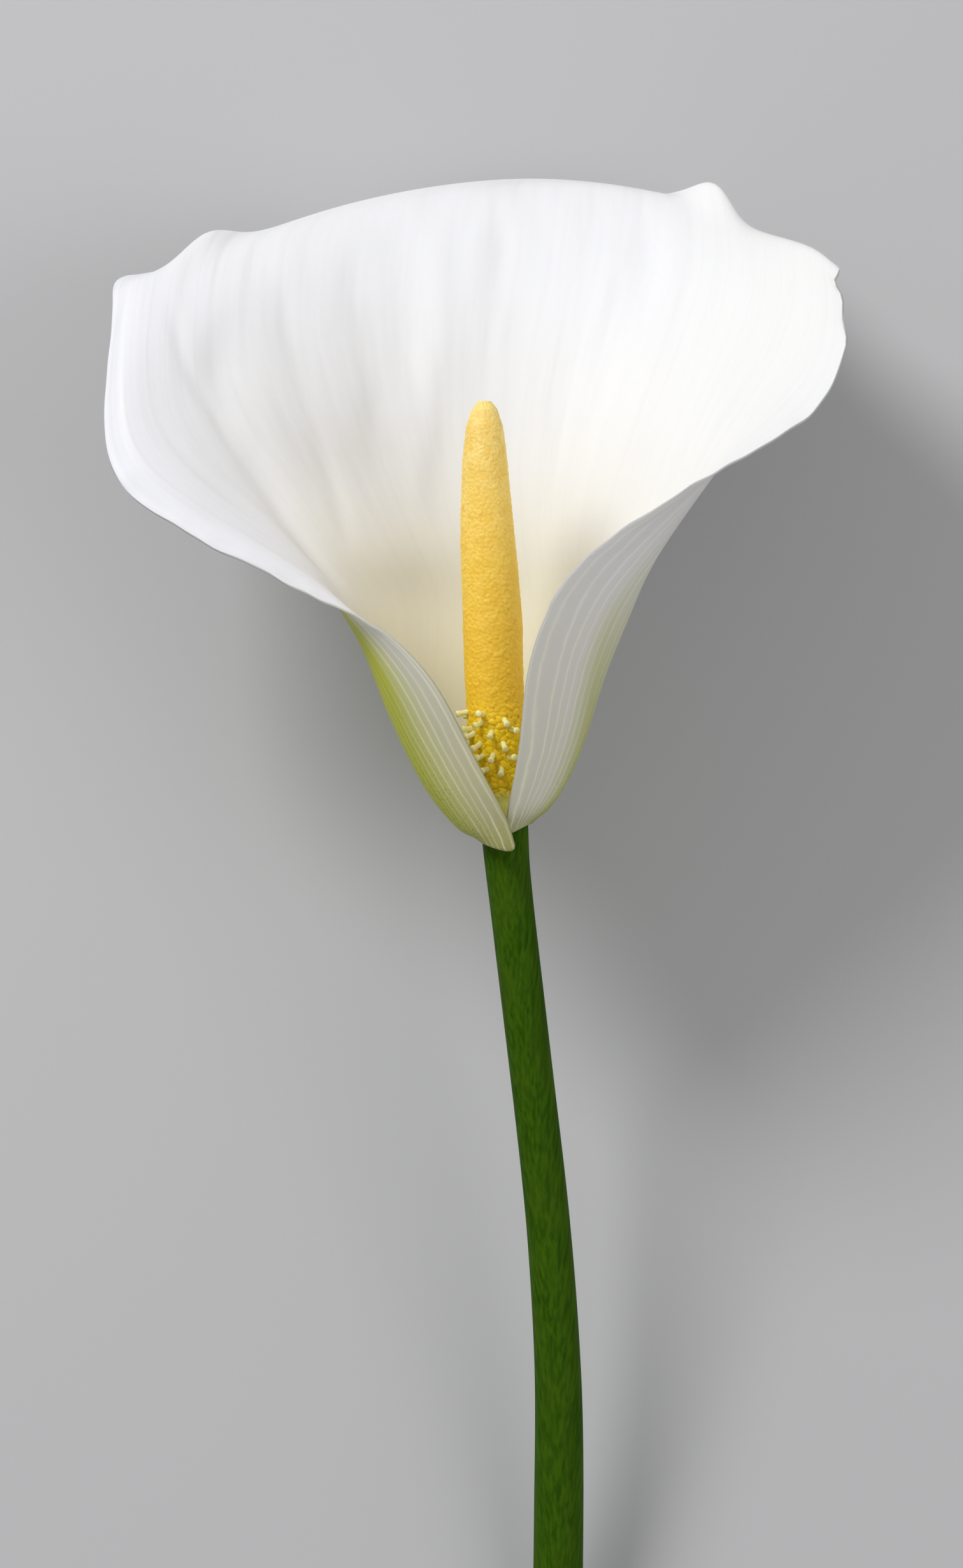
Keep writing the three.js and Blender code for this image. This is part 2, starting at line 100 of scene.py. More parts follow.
# The rim is gently waved. Each wave has its place and its reach across and along, and how far it
# moves the blade, in millimetres, right, up and towards the eye.
waves = [
    (0, 0, 0.07, 0.04, (0.2, -1.3, 0)),
    (0.14, 0, 0.07, 0.03, (0, 0.8, 0)),
    (1, 0, 0.1, 0.03, (0, -1, 0)),
    (0, 0.724, 0.07, 0.014, (0, -2.4, 0)),
    (0.2, 0.69, 0.045, 0.035, (0, 4.1, 0)),
    (0.695, 0.692, 0.036, 0.04, (0.4, 5.4, 0)),
    (0, 0.444, 0.06, 0.018, (-1, 0, 0)),
    (1, 0.592, 0.035, 0.007, (0.55, 0, 0)),
    (1, 0.607, 0.035, 0.0055, (-0.4, 0, 0)),
    (1, 0.629, 0.035, 0.0055, (-0.8, 0, 0)),
    (1, 0.642, 0.035, 0.006, (0.5, 0.25, 0)),
]
foot_grip, foot_height = 1.0, 0.055  # the base edge closes on the stem: millimetres, and share
foot_grip_start = (0.05, 0.25)  # the left margin stays free in front of the stem
blade_thickness, margin_thickness = 1.0, 0.45
blade_columns, blade_rows = 236, 190


def smooth(low, high, value):
    share = np.clip((value - low) / (high - low), 0, 1)
    return share * share * (3 - 2 * share)


def settle(points):
    """Guide points, changed so that the smooth cubic line of them passes through the old ones."""
    guide = points.copy()
    for _ in range(24):
        for i in range(1, len(points) - 1):
            guide[i] = (6 * points[i] - guide[i - 1] - guide[i + 1]) / 4
    return guide


def shares(place, count):
    """The share of each of count guide points at each place on a smooth cubic line."""
    start = np.minimum(place.astype(int), count - 2)
    late = place - start
    early = 1 - late
    pull = [early**3, 3 * late**3 - 6 * late**2 + 4, 3 * early**3 - 6 * early**2 + 4, late**3]
    made = np.zeros((len(place), count + 2))
    for k, weight in enumerate(pull):
        made[np.arange(len(place)), start + k] += weight / 6
    for end, first, second in ((0, 1, 2), (-1, -2, -3)):
        made[:, first] += 2 * made[:, end]
        made[:, second] -= made[:, end]
    return made[:, 1:-1]


def lay(upright):
    """Leans upright points back by the slope of the stem."""
    x, y, z = upright.T
    return np.stack([x, y * math.cos(head_tilt) - z * math.sin(head_tilt),
                     y * math.sin(head_tilt) + z * math.cos(head_tilt)], axis=1)


net = []
for height, slope, centre, radius, left, right, lift, drop in cup_rings:
    around = np.linspace(0, 1, len(limb_rows[0]))
    free = 1 - smooth(0, 0.3, around)
    angle = np.radians(left + (right - left) * around)
    sideways = (radius + lift * free) * np.cos(angle)
    net.append(np.stack([centre + sideways, height + slope * sideways - drop * free,
                         (radius + lift * free) * np.sin(angle)], axis=1))
net = settle(np.array(net + [np.array(row, float) for row in limb_rows]))
net = settle(net.transpose(1, 0, 2)).transpose(1, 0, 2)


def blade(across, along):
    """Points in the middle of the blade, laid. across and along run from 0 to 1."""
    rows = shares(along * (net.shape[0] - 1), net.shape[0])
    columns = shares(across * (net.shape[1] - 1), net.shape[1])
    return lay(np.einsum("pr,pc,rcx->px", rows, columns, net))


def inward(surface, across, along, step=0.002):
    """The direction into the flower at each place of a surface."""
    wide = surface(np.minimum(across + step, 1), along) - surface(np.maximum(across - step, 0), along)
    tall = surface(across, np.minimum(along + step, 1)) - surface(across, np.maximum(along - step, 0))
    normal = np.cross(wide, tall)
    return normal / np.linalg.norm(normal, axis=1)[:, None]


def half_thickness(across):
    side = np.abs(2 * across - 1) ** 6
    return (blade_thickness + (margin_thickness - blade_thickness) * side) / 2


def rolled_blade(across, share):
    reach = np.clip(np.minimum(across, 1 - across) / corner_across, 0, 1)
    lifted = corner_along * (1 - np.sqrt(1 - (1 - reach) ** 2))
    along = lifted + share * (1 - lifted)
    row = along * (net.shape[0] - 1)
    steps = np.arange(net.shape[0])
    roll = np.interp(row, steps, left_roll) * (1 - smooth(0, roll_width, 2 * across))
    roll += np.interp(row, steps, right_roll) * (1 - smooth(0, roll_width, 2 - 2 * across))
    points = blade(across, along) - inward(blade, across, along) * roll[:, None]
    for wave_across, wave_along, wide, tall, move in waves:
        near = np.exp(-(((across - wave_across) / wide) ** 2) - ((along - wave_along) / tall) ** 2)
        points += near[:, None] * lay(np.array([move], float))
    points[:, 2] = np.maximum(points[:, 2], half_thickness(across) - floor_depth)
    return points


# Long soft folds fan out of the throat. Each has a depth into the wall in millimetres, a width
# across, and its path from low to high: pairs of along and across. A depth under 0 is a ridge.
folds = [
    (1.1, 0.028, [(0.3, 0.2), (0.4, 0.212), (0.46, 0.242), (0.58, 0.25)]),
    (0.4, 0.012, [(0.42, 0.225), (0.5, 0.23), (0.55, 0.203), (0.62, 0.165)]),
    (0.5, 0.014, [(0.34, 0.28), (0.4, 0.312), (0.46, 0.33), (0.52, 0.335), (0.6, 0.315)]),
    (0.6, 0.014, [(0.4, 0.372), (0.48, 0.395), (0.53, 0.393), (0.63, 0.38)]),
    (0.9, 0.024, [(0.4, 0.39), (0.45, 0.405), (0.525, 0.422), (0.65, 0.415)]),
    (-0.5, 0.014, [(0.36, 0.4), (0.45, 0.435), (0.52, 0.45), (0.65, 0.447)]),
    (0.5, 0.012, [(0.53, 0.46), (0.65, 0.45)]),
    (0.5, 0.012, [(0.52, 0.5), (0.65, 0.485)]),
    (0.4, 0.016, [(0.54, 0.535), (0.65, 0.515)]),
    (0.6, 0.014, [(0.5, 0.622), (0.65, 0.6)]),
]

# Small uneven crinkles run along the two margins: how fast each turns, where it starts, and how
# high it is in millimetres.
crinkles = [(152, 0.4, 0.09), (233, 2.1, 0.08), (97, 4.0, 0.1)]
crinkle_width = 0.035  # share of the blade from the margin inwards
crinkle_slant = 9  # they lean as they run in from the margin
crinkle_start = (0.2, 0.35)  # above the cup, between these shares of the length
fold_fade_in, fold_fade_out = 0.08, 0.06  # shares of the length


def folded_blade(across, along):
    depth = np.zeros(len(across))
    for deep, width, path in folds:
        start, end = path[0][0], path[-1][0]
        centre = np.interp(along, *zip(*path))
        length = smooth(start, start + fold_fade_in, along) * (1 - smooth(end - fold_fade_out, end, along))
        depth += deep * length * np.exp(-(((across - centre) / width) ** 2))
    depth -= foot_grip * (1 - smooth(0, foot_height, along)) * smooth(*foot_grip_start, across)
    near_rim = np.exp(-((np.minimum(across, 1 - across) / crinkle_width) ** 2))
    near_rim *= smooth(*crinkle_start, along)
    for pace, turn, high in crinkles:
        depth += high * near_rim * np.sin(pace * along + turn + crinkle_slant * across)
    points = rolled_blade(across, along) - inward(rolled_blade, across, along) * depth[:, None]
    points[:, 2] = np.maximum(points[:, 2], half_thickness(across) - floor_depth)
    return points


spathe_mesh = bmesh.new()
lie = spathe_mesh.loops.layers.uv.new("lie")
bmesh.ops.create_grid(spathe_mesh, x_segments=blade_columns, y_segments=blade_rows, size=0.5)
across = np.array([vertex.co.x + 0.5 for vertex in spathe_mesh.verts])
along = np.array([vertex.co.y + 0.5 for vertex in spathe_mesh.verts])
for face in spathe_mesh.faces:
    for loop in face.loops:
        loop[lie].uv = loop.vert.co.x + 0.5, loop.vert.co.y + 0.5

plain = rolled_blade(across, along)
low_corner, high_corner = (np.array(corner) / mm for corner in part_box("spathe"))
offset = (low_corner + high_corner - plain.min(axis=0) - plain.max(axis=0)) / 2
offset[2] = floor_depth
for vertex, point in zip(spathe_mesh.verts, (folded_blade(across, along) + offset) * mm):
    vertex.co = point
spathe_data = bpy.data.meshes.new("white_spathe")
spathe_mesh.to_mesh(spathe_data)
spathe_mesh.free()
spathe_data.shade_smooth()
spathe = bpy.data.objects.new("white_spathe", spathe_data)
bpy.context.scene.collection.objects.link(spathe)
thin = spathe.vertex_groups.new(name="thick")
for number, side in enumerate(2 * half_thickness(across) / blade_thickness):
    thin.add([number], float(side), "REPLACE")
wall = spathe.modifiers.new("wall", "SOLIDIFY")
wall.thickness = blade_thickness * mm
wall.offset = 0
wall.vertex_group = "thick"
wall.thickness_vertex_group = 0
wall.material_offset = 1
wall.material_offset_rim = 2


class Strand:
    """A socket of a material's nodes. Plain arithmetic on it adds the Math nodes."""

    def __init__(self, tree, socket=None):
        self.tree = tree
        self.socket = socket

    def node(self, kind, settings=None, sockets=None, output=0):
        made = self.tree.nodes.new("ShaderNode" + kind)
        for name, value in (settings or {}).items():
            if name == "stops":
                ramp = made.color_ramp.elements
                while len(ramp) < len(value):
                    ramp.new(0.5)
                for stop, (place, colour) in zip(ramp, value):
                    stop.position = place
                    stop.color = colour
            else:
                setattr(made, name, value)
        for name, value in (sockets or {}).items():
            if isinstance(value, Strand):
                self.tree.links.new(value.socket, made.inputs[name])
            else:
                made.inputs[name].default_value = value
        return Strand(self.tree, made.outputs[output])

    def math(self, operation, *values):
        return self.node("Math", {"operation": operation}, dict(enumerate(values)))

    def __add__(self, other):
        return self.math("ADD", self, other)

    def __sub__(self, other):
        return self.math("SUBTRACT", self, other)

    def __rsub__(self, other):
        return self.math("SUBTRACT", other, self)

    def __mul__(self, other):
        return self.math("MULTIPLY", self, other)

    def __pow__(self, other):
        return self.math("POWER", self, other)

    def between(self, low, high, start=0.0, end=1.0):
        """Runs smoothly from start to end while this value runs from low to high."""
        settings = {"interpolation_type": "SMOOTHSTEP"}
        return self.node("MapRange", settings, {0: self, 1: low, 2: high, 3: start, 4: end})

    def blend(self, first, second):
        """first where this value is 0, second where it is 1."""
        return self.node("Mix", {"data_type": "RGBA"}, {0: self, 6: first, 7: second}, 2)

    def scaled(self, vector, factors):
        return self.node("VectorMath", {"operation": "MULTIPLY"}, {0: vector, 1: factors})

    def noise(self, place, scale, detail=2.0, roughness=0.5):
        sockets = {"Vector": place, "Scale": scale, "Detail": detail, "Roughness": roughness}
        return self.node("TexNoise", {}, sockets)


def finish(name):
    """A new material: its first strand and its shader."""
    material = bpy.data.materials.new(name)
    material.use_nodes = True
    shader = material.node_tree.nodes["Principled BSDF"]
    return material, Strand(material.node_tree), shader


def wire(strand, shader, socket):
    strand.tree.links.new(strand.socket, shader.inputs[socket])


vein_count = 44
vein_drift, vein_waver = 3.2, 0.35  # in widths of a vein's field
# The outside, from its silvery upper part to its green foot
lilac_white, olive_cream = (0.77, 0.765, 0.77, 1), (0.55, 0.53, 0.31, 1)
side_green, foot_olive, green_speck = (0.43, 0.455, 0.02, 1), (0.3, 0.3, 0.09, 1), (0.13, 0.2, 0.03, 1)
high_vein, low_vein = (0.94, 0.93, 0.9, 1), (0.89, 0.88, 0.66, 1)
# The inside: white with a warm tint in the throat; painted shade makes it bluish grey at the margins, darker
# deep in the throat and faintly streaked with grey
margin_painted_shade, open_white, left_white = (0.83, 0.84, 0.93, 1), (0.87, 0.87, 0.86, 1), (0.83, 0.83, 0.86, 1)
fine_painted_shade, broad_painted_shade, inner_vein = (0.62, 0.62, 0.6, 1), (0.7, 0.69, 0.7, 1), (0.5, 0.52, 0.56, 1)
# Down the throat the white turns warm and darker: partly its own warm tint, partly painted shade. The lowest
# stop is lifted again as painted light where the shade is deepest.
throat_tint_and_painted_shade = [(0.04, (0.66, 0.68, 0.18, 1)), (0.11, (0.56, 0.54, 0.33, 1)),
                  (0.26, (0.77, 0.74, 0.58, 1)), (0.42, (0.86, 0.85, 0.83, 1)),
                  (0.56, (0.88, 0.88, 0.9, 1))]


def petal(name, outside, painted_shade=1.0):
    """The skin of the blade. Veins run from the base to the rim, and drift and waver as they go."""
    material, start, shader = finish(name)
    lie = start.node("UVMap", {"uv_map": "lie"})
    across = start.node("SeparateXYZ", {}, {0: lie}, 0)
    along = start.node("SeparateXYZ", {}, {0: lie}, 1)
    place = start.node("TexCoord", {}, {}, 3)
    side = start.math("ABSOLUTE", across - 0.5) * 2
    drift = start.noise(start.scaled(lie, (9, 1.1, 0)), 1.0, 1.0)
    waver = start.noise(start.scaled(lie, (26, 30, 0)), 1.0, 2.0)
    strength = start.noise(start.scaled(lie, (38, 5, 0)), 1.0, 2.0).between(0.3, 0.65)
    turns = (across * vein_count + drift * vein_drift + waver * vein_waver) * math.tau
    ridge = start.math("COSINE", turns) * 0.5 + 0.5
    vein = (ridge ** 20 * 0.6 + ridge ** 4 * 0.35) * (strength * 0.6 + 0.4)
    grain = start.noise(place, 1500.0, 3.0)
    streak = start.noise(start.scaled(lie, (70, 2.5, 0)), 1.0, 3.0)
    if outside:
        low = along.between(0.42, 0.06)
        left = across.between(0.7, 0.25)
        reach = low + (along.between(0.5, 0.28) - low) * left
        green = side.between(left * 0.14 + 0.82, along.between(0.1, 0.3, 0.54, 0.72)) * reach
        green = green * (left * 0.25 + 1.0) + along.between(0.1, 0.0) * 0.25 + (streak - 0.5) * 0.25
        green = start.math("MINIMUM", start.math("MAXIMUM", green, 0.0), 1.0)
        lilac = (low * (left * 0.5 + 0.5)).blend(lilac_white, olive_cream)
        ground = green.blend(lilac, side_green)
        ground = (along.between(0.09, 0.0) * 0.6).blend(ground, foot_olive)
        speckle = start.noise(place, 2600.0, 1.0).between(0.56, 0.66) * along.between(0.26, 0.05) * green
        ground = (speckle * 0.75).blend(ground, green_speck)
        pale = low.blend(high_vein, low_vein)
        colour = (vein * (0.85 - green * 0.6)).blend(ground, pale)
    else:
        ground = along.node("ValToRGB", {"stops": throat_tint_and_painted_shade}, {0: along})
        # Painted shade: bluish grey towards the margins, where the blade curves away.
        ground = (side.between(0.66, 1.0) * 0.7).blend(ground, margin_painted_shade)
        # Painted light: the lit right wall of the throat is kept white, without the throat's painted shade.
        lit_wall_painted_light = across.between(0.58, 0.75) * along.between(0.12, 0.26) * 0.9
        ground = lit_wall_painted_light.blend(ground, open_white)
        left = across.between(0.3, 0.12) * along.between(0.24, 0.34) * 0.8
        ground = left.blend(ground, left_white)
        # Painted shade: faint grey streaks along the folds, strongest on the shaded left wall.
        shaded_left_side = across.between(0.72, 0.5, 0.3, 1.0)
        ground = ((streak - 0.3) * shaded_left_side * 0.22).blend(ground, fine_painted_shade)
        broad_shade_bands = start.noise(start.scaled(lie, (30, 3.5, 0)), 1.0, 3.0, 0.6).between(0.45, 0.75)
        ground = (broad_shade_bands * along.between(0.3, 0.5) * shaded_left_side * 0.4).blend(ground, broad_painted_shade)
        few = start.noise(start.scaled(lie, (24, 1.6, 0)), 1.0, 2.0).between(0.48, 0.62)
        lines = along.between(0.45, 0.6) * across.between(0.2, 0.08) * few * 0.3 + 0.04
        colour = (vein * lines).blend(ground, inner_vein)
    # The last argument darkens the whole colour: painted shade where it is under 1.
    wire(start.scaled(colour, (painted_shade, painted_shade, painted_shade)), shader, "Base Color")
    height = vein * (0.5 if outside else 0.06) + grain * 0.2 + streak * 0.5
    bump = start.node("Bump", {}, {"Strength": 0.25, "Distance": 0.0003, "Height": height})
    wire(bump, shader, "Normal")
    shader.inputs["Roughness"].default_value = 0.5
    shader.inputs["Specular IOR Level"].default_value = 0.25
    shader.inputs["Subsurface Weight"].default_value = 0.25
    shader.inputs["Subsurface Radius"].default_value = (1.0, 0.9, 0.7)
    shader.inputs["Subsurface Scale"].default_value = 0.0015
    return material


spathe_data.materials.append(petal("spathe_inside", False))
spathe_data.materials.append(petal("spathe_outside", True))
# The rim faces take the outside colours darkened to 0.7: painted shade.
spathe_data.materials.append(petal("spathe_rim_painted_shade", True, 0.7))
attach(spathe, "root")
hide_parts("spathe")


# The stem
# One round stalk, soft and full of water, with a waxy green skin over fine lengthwise strands.
# Its top ends inside the foot of the spathe, and its other end is cut square.
stem_points = [(-1, 1.4, 0), (-0.6, -4.8, 0), (0.7, -17, -0.2), (4.7, -51, -0.6), (7.4, -76, -0.8),
               (9, -100, -0.8), (9.3, -125, -0.6)]
stem_end_height = -170.6
stem_radii = [4.5, 4.3, 4.1, 4.05, 4.15, 4.35, 4.65, 4.75]
stem_end_depth = stem_radii[-1] - floor_depth / math.cos(head_tilt) - stem_end_height * math.tan(head_tilt)
stem_sides, stem_rings = 60, 240
end_rounding = 0.18  # how far the rim of the cut end is drawn in, in millimetres
stem_line = settle(np.array(stem_points + [(8.8, stem_end_height, stem_end_depth)], float))


def tube(line, radii, share, angle, off=0.0):
    """Points round a line at shares of its length and angles, off millimetres outside its skin."""
    step = 0.002
    at = lambda value: shares(np.clip(value, 0, 1) * (len(line) - 1), len(line)) @ line
    heading = at(share + step) - at(share - step)
    heading /= np.linalg.norm(heading, axis=1)[:, None]
    side = np.array([1.0, 0, 0]) - heading * heading[:, :1]
    side /= np.linalg.norm(side, axis=1)[:, None]
    front = np.cross(heading, side)
    radius = np.interp(share, np.linspace(0, 1, len(radii)), radii) + off
    outwards = side * np.cos(angle)[:, None] + front * np.sin(angle)[:, None]
    return at(share) + outwards * radius[:, None]


def seat(upright):
    """Upright points in millimetres as places in the frame."""
    return (lay(upright) + offset) * mm


def round_bar(sides, rings):
    """A closed bar of unit radius from z 0 to 1, cut into rings."""
    made = bmesh.new()
    bmesh.ops.create_cone(made, cap_ends=True, segments=sides, radius1=1, radius2=1, depth=1,
                          matrix=Matrix.Translation((0, 0, 0.5)))
    upright = [edge for edge in made.edges if abs(edge.verts[0].co.z - edge.verts[1].co.z) > 0.5]
    bmesh.ops.subdivide_edges(made, edges=upright, cuts=rings - 1)
    return made


def show(name, made, *materials):
    """Turns a bmesh into a smooth object of the scene."""
    data = bpy.data.meshes.new(name)
    made.to_mesh(data)
    made.free()
    data.shade_smooth()
    for material in materials:
        data.materials.append(material)
    piece = bpy.data.objects.new(name, data)
    bpy.context.scene.collection.objects.link(piece)
    return piece


stem_mesh = round_bar(stem_sides, stem_rings)
share = np.array([vertex.co.z for vertex in stem_mesh.verts])
angle = np.array([math.atan2(vertex.co.y, vertex.co.x) for vertex in stem_mesh.verts])
lowest_cap = max(stem_mesh.faces, key=lambda face: face.calc_center_median().z)
lowest_cap.material_index = 1
rounded_end = np.where(share == 1, -end_rounding, 0)
for vertex, point in zip(stem_mesh.verts, seat(tube(stem_line, stem_radii, share, angle, rounded_end))):
    vertex.co = point
bmesh.ops.recalc_face_normals(stem_mesh, faces=stem_mesh.faces)

green, start, shader = finish("stem_green")
place = start.node("TexCoord", {}, {}, 3)
strands = start.noise(start.scaled(place, (1500, 26, 1500)), 1.0, 3.0)
blotches = start.noise(start.scaled(place, (260, 60, 260)), 1.0, 2.0)
# The skin greens are darker than the stem's own medium green: painted shade.
shaded_skin = strands.between(0.3, 0.7).blend((0.018, 0.058, 0.0005, 1), (0.042, 0.105, 0.002, 1))
shaded_skin = (blotches.between(0.35, 0.7) * 0.35).blend(shaded_skin, (0.055, 0.11, 0.004, 1))
wire(shaded_skin, shader, "Base Color")
wire(start.node("Bump", {}, {"Strength": 0.35, "Distance": 0.0002, "Height": strands}), shader, "Normal")
shader.inputs["Roughness"].default_value = 0.55
shader.inputs["Specular IOR Level"].default_value = 0.04

cut, start, shader = finish("cut_end")
place = start.node("TexCoord", {}, {}, 3)
bundles = start.node("TexVoronoi", {}, {"Vector": place, "Scale": 950.0}).between(0.25, 0.4)
wire(bundles.blend((0.2, 0.33, 0.06, 1), (0.5, 0.58, 0.26, 1)), shader, "Base Color")
shader.inputs["Roughness"].default_value = 0.3
stem = show("green_stem", stem_mesh, green, cut)
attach(stem, "root")
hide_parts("stem")


# The spadix
# A yellow club round a fleshy core, grown in one piece with the stem. Packed florets cover it: the
# small ones of its long upper part bear pollen, and the beads of its foot bear seed.
spadix_foot, spadix_length = 1.7, 78.7
spadix_line = settle(np.array([
    (-0.8, spadix_foot, 0), (-2.1, spadix_foot + 0.167 * spadix_length, 0),
    (-2.9, spadix_foot + 0.333 * spadix_length, -0.2), (-3.3, spadix_foot + 0.5 * spadix_length, -0.5),
    (-4.1, spadix_foot + 0.667 * spadix_length, -0.9), (-4.6, spadix_foot + 0.833 * spadix_length, -1.3),
    (-4.7, spadix_foot + spadix_length, -1.5)]))
spadix_radii = np.interp(np.linspace(0, 1, 101), [0, 0.05, 0.15, 0.3, 0.46, 0.67, 0.86, 0.94, 0.98, 1],
                         [3.7, 4.5, 5.3, 5.6, 5.75, 5.25, 4.35, 3.6, 2.55, 1.3])
pollen_start = (0.22, 0.29)  # the seed-bearing part ends and the pollen-bearing part starts
foot_end = (0.035, 0.06)  # the bare foot ends and the florets start
bead_size, pollen_size = 1.35, 0.95  # of a floret, in millimetres
bead_height, pollen_height = 0.45, 0.2
floret_sink = 0.25  # the gaps between the florets lie this far under the solid's skin
squeeze = np.array([0.78, 1, 0.78])  # florets are wider than high
uneven_reach, uneven_pace = (0.13, 0.07), (6.1, 13.7)  # florets are not quite round
spadix_sides, spadix_rings = 190, 430
golden_angle = math.pi * (3 - math.sqrt(5))
chance = np.random.default_rng(7)

centres, place = [], foot_end[0]
while place < 1:
    size = bead_size + (pollen_size - bead_size) * smooth(*pollen_start, place)
    girth = math.tau * np.interp(place, np.linspace(0, 1, len(spadix_radii)), spadix_radii)
    place += size**2 / girth / spadix_length
    centres.append((place + 0.3 * size / spadix_length * chance.normal(),
                    len(centres) * golden_angle + 0.35 * size / girth * math.tau * chance.normal()))
centres = np.array(centres)
florets = KDTree(len(centres))
for number, point in enumerate(tube(spadix_line, spadix_radii, *centres.T) * squeeze):
    florets.insert(point, number)
florets.balance()
floret_rise = chance.uniform(0.55, 1.15, len(centres))

spadix_mesh = round_bar(spadix_sides, spadix_rings)
share = np.array([vertex.co.z for vertex in spadix_mesh.verts])
angle = np.array([math.atan2(vertex.co.y, vertex.co.x) for vertex in spadix_mesh.verts])
kind = smooth(*pollen_start, share)
crown = []
skin_points = tube(spadix_line, spadix_radii, share, angle) * squeeze
uneven = skin_points + uneven_reach[0] * np.sin(skin_points[:, [1, 2, 0]] * uneven_pace[0])
uneven += uneven_reach[1] * np.sin(skin_points[:, [2, 0, 1]] * uneven_pace[1])
for point, pollen in zip(uneven, kind):
    (_, number, near), (_, _, next_near) = florets.find_n(point, 2)
    edge = min((next_near - near) / (0.62 - 0.2 * pollen), 1)
    crown.append(floret_rise[number] * math.sqrt(1 - (1 - edge) ** 2))
crown = np.array(crown) * smooth(*foot_end, share)
height = crown * (bead_height + (pollen_height - bead_height) * kind)
crown_layer = spadix_mesh.verts.layers.float.new("crown")
rise_layer = spadix_mesh.verts.layers.float.new("rise")
places = seat(tube(spadix_line, spadix_radii, share, angle, height - floret_sink))
for vertex, point, top, rise in zip(spadix_mesh.verts, places, crown, share):
    vertex.co = point
    vertex[crown_layer] = top
    vertex[rise_layer] = rise
bmesh.ops.recalc_face_normals(spadix_mesh, faces=spadix_mesh.faces)

yellow, start, shader = finish("spadix_yellow")
place = start.node("TexCoord", {}, {}, 3)
crown = start.node("Attribute", {"attribute_name": "crown"}, {}, 2)
rise = start.node("Attribute", {"attribute_name": "rise"}, {}, 2)
patches = start.noise(place, 330.0, 2.0)
# At the bare foot (the first stop of both ramps) the pale yellow-green is lifted almost to white: painted
# light in the shade of the throat.
tops = start.node("ValToRGB", {"stops": [
    (0.04, (0.95, 0.94, 0.32, 1)), (0.07, (0.88, 0.64, 0.006, 1)), (0.2, (0.93, 0.66, 0.008, 1)),
    (0.3, (0.93, 0.59, 0.04, 1)), (0.6, (0.97, 0.65, 0.1, 1)), (0.97, (1.0, 0.75, 0.26, 1))]}, {0: rise})
# Between the florets the yellow turns a deeper orange and darker: partly its own colour, partly painted
# shade in the crevices.
gap_orange_and_shade = start.node("ValToRGB", {"stops": [
    (0.04, (0.92, 0.91, 0.27, 1)), (0.07, (0.66, 0.38, 0.0, 1)), (0.22, (0.72, 0.41, 0.002, 1)),
    (0.34, (0.84, 0.48, 0.02, 1)), (0.97, (0.92, 0.6, 0.12, 1))]}, {0: rise})
colour = crown.between(0.1, 0.6).blend(gap_orange_and_shade, tops)
colour = (patches.between(0.35, 0.65) * 0.3).blend(colour, (0.82, 0.48, 0.015, 1))
wire(colour, shader, "Base Color")
powder = start.noise(place, 5200.0, 2.0)
wire(start.node("Bump", {}, {"Strength": 0.4, "Distance": 0.00006, "Height": powder}), shader, "Normal")
wire(powder.between(0.3, 0.7, 0.4, 0.65), shader, "Roughness")
shader.inputs["Specular IOR Level"].default_value = 0.3
shader.inputs["Subsurface Weight"].default_value = 0.35
shader.inputs["Subsurface Radius"].default_value = (1.0, 0.6, 0.2)
shader.inputs["Subsurface Scale"].default_value = 0.0012
spadix = show("yellow_spadix", spadix_mesh, yellow)
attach(spadix, "root")
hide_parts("spadix")


# The pistils
# Pale, fleshy stalks with a flat wet tip, each grown out between the seed-bearing florets.
# Each in front has its share of the spadix's length, its angle from the right side towards the
# eye, and how far it droops.
front_pistils = [
    (0.259, 167, 0.1), (0.219, 152, 0.0), (0.21, 146, 0.3), (0.236, 125, 0.36), (0.251, 116, -0.05),
    (0.238, 74, 0.45), (0.213, 60, 0.2), (0.209, 101, 0.42), (0.18, 79, 0.45), (0.186, 130, 0.4),
    (0.155, 102, 0.45), (0.123, 89, 0.55), (0.121, 119, 0.1), (0.147, 66, 0.1), (0.156, 126, 0.2)]
back_count, back_start, back_step = 11, 205, 17  # the angles of those behind, in degrees
back_pistils = [(chance.uniform(0.09, 0.26), back_start + back_step * number, chance.uniform(-0.2, 0.4))
                for number in range(back_count)]
pistil_length, pistil_root = 2.2, 0.8  # beyond the skin, and sunk in it
pistil_radii = np.interp(np.linspace(0, 1, 21), [0, 0.5, 0.72, 0.88, 0.96, 1],
                         [0.68, 0.52, 0.5, 0.66, 0.64, 0.48])
pistil_sides, pistil_rings = 14, 20
pistil_bend = 0.12  # how far a stalk's middle strays, in millimetres

pistil_mesh = bmesh.new()
for share, degrees, droop in front_pistils + back_pistils:
    turn = np.array([-math.radians(degrees)])
    root = tube(spadix_line, spadix_radii, np.array([share]), turn, -pistil_root)[0]
    heading = tube(spadix_line, spadix_radii, np.array([share]), turn, 1.0)[0] - root
    heading = heading / np.linalg.norm(heading) - np.array([0, droop, 0])
    stretch = (pistil_root + pistil_length * chance.uniform(0.85, 1.15)) * heading / np.linalg.norm(heading)
    middle = root + stretch * 0.5 + chance.normal(0, pistil_bend, 3)
    stalk = np.array([root, middle, root + stretch])
    bar = round_bar(pistil_sides, pistil_rings)
    share_up = np.array([vertex.co.z for vertex in bar.verts])
    round_turn = np.array([math.atan2(vertex.co.y, vertex.co.x) for vertex in bar.verts])
    for vertex, point in zip(bar.verts, seat(tube(settle(stalk), pistil_radii, share_up, round_turn))):
        vertex.co = point
    bmesh.ops.recalc_face_normals(bar, faces=bar.faces)
    one = bpy.data.meshes.new("one_pistil")
    bar.to_mesh(one)
    bar.free()
    pistil_mesh.from_mesh(one)
    bpy.data.meshes.remove(one)

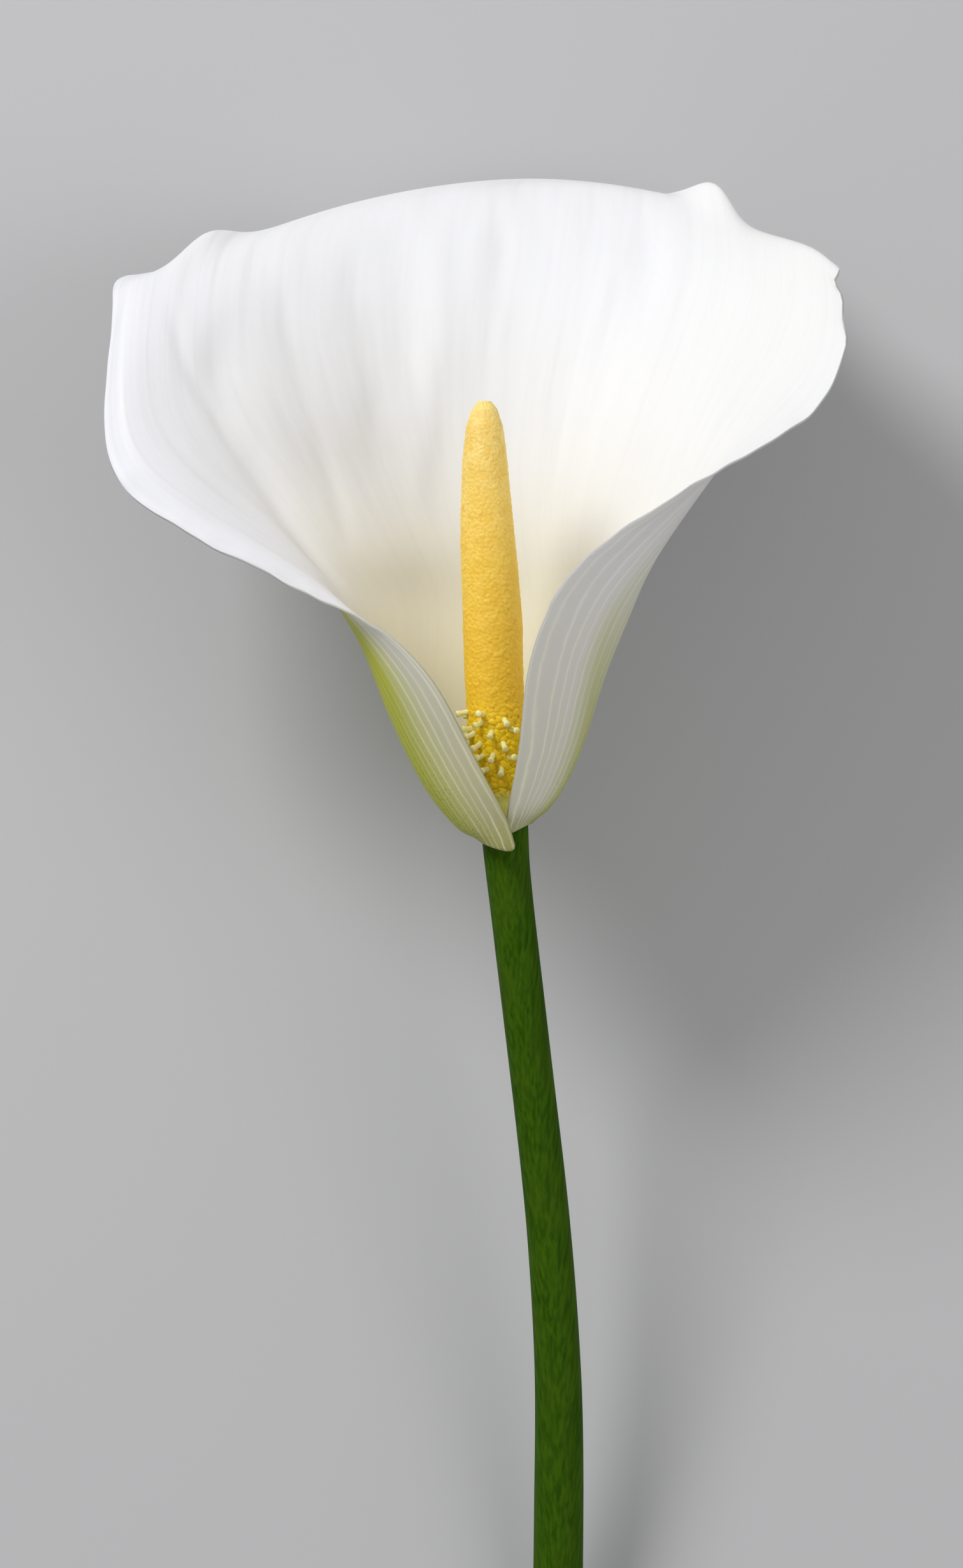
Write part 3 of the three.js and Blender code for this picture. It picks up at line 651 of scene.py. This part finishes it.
cream, start, shader = finish("pistil_cream")
place = start.node("TexCoord", {}, {}, 3)
cloudy = start.noise(place, 900.0, 1.0).between(0.3, 0.7)
wire(cloudy.blend((0.86, 0.8, 0.27, 1), (0.93, 0.88, 0.5, 1)), shader, "Base Color")
shader.inputs["Roughness"].default_value = 0.25
shader.inputs["Subsurface Weight"].default_value = 0.4
shader.inputs["Subsurface Radius"].default_value = (1.0, 0.9, 0.5)
shader.inputs["Subsurface Scale"].default_value = 0.0008
pistils = show("pale_pistils", pistil_mesh, cream)
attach(pistils, "root")


# The floor
# A plain pale sheet that the flower lies on.
floor_mesh = bmesh.new()
bmesh.ops.create_grid(floor_mesh, x_segments=1, y_segments=1, size=6,
                      matrix=Matrix.Translation((0, 0, -0.02 * mm)))
pale, start, shader = finish("pale_floor")
shader.inputs["Base Color"].default_value = (0.5, 0.5, 0.51, 1)
shader.inputs["Roughness"].default_value = 0.85
floor = show("pale_floor", floor_mesh, pale)

# The lights
# A large soft light high on the left, in front, and a faint even fill from all round.
def soft_light(name, place, size, power):
    lamp = bpy.data.lights.new(name, "AREA")
    lamp.shape = "DISK"
    lamp.size = size
    lamp.energy = power
    light = bpy.data.objects.new(name, lamp)
    light.location = place
    light.rotation_euler = (Vector((0, 0.07, 0.04)) - Vector(place)).to_track_quat("-Z", "Y").to_euler()
    light.visible_camera = False
    bpy.context.scene.collection.objects.link(light)


soft_light("key", (-0.75, 0.8, 1.0), 0.6, 13.5)
soft_light("fill", (0.9, -0.3, 1.2), 1.0, 4)
world = bpy.data.worlds.new("studio")
world.use_nodes = True
world.node_tree.nodes["Background"].inputs[0].default_value = (1, 1, 1, 1)
world.node_tree.nodes["Background"].inputs[1].default_value = 0.42
bpy.context.scene.world = world
bpy.context.scene.view_settings.view_transform = "Standard"

# The camera
# It looks down on the lying flower, square to the flower's own axis, as the photograph does.
picture_width, picture_height = 1512, 2463
pixel = 0.12  # the photograph's pixel at the flower, in millimetres
stem_top_pixel = (800, 1300)
lens, sensor = 800, 36
seen_height = picture_height * pixel
distance = lens * seen_height / sensor
centre = np.array([[(picture_width / 2 - stem_top_pixel[0]) * pixel,
                    (stem_top_pixel[1] - picture_height / 2) * pixel, 0.0]])
eye = lay(centre + np.array([[0, 0, distance]])) + offset
camera_data = bpy.data.cameras.new("camera")
camera_data.lens = lens
camera_data.sensor_width = sensor
camera_data.clip_end = 30
camera = bpy.data.objects.new("camera", camera_data)
camera.location = Vector(eye[0]) * mm
camera.rotation_euler = (head_tilt, 0, 0)
bpy.context.scene.collection.objects.link(camera)
bpy.context.scene.camera = camera
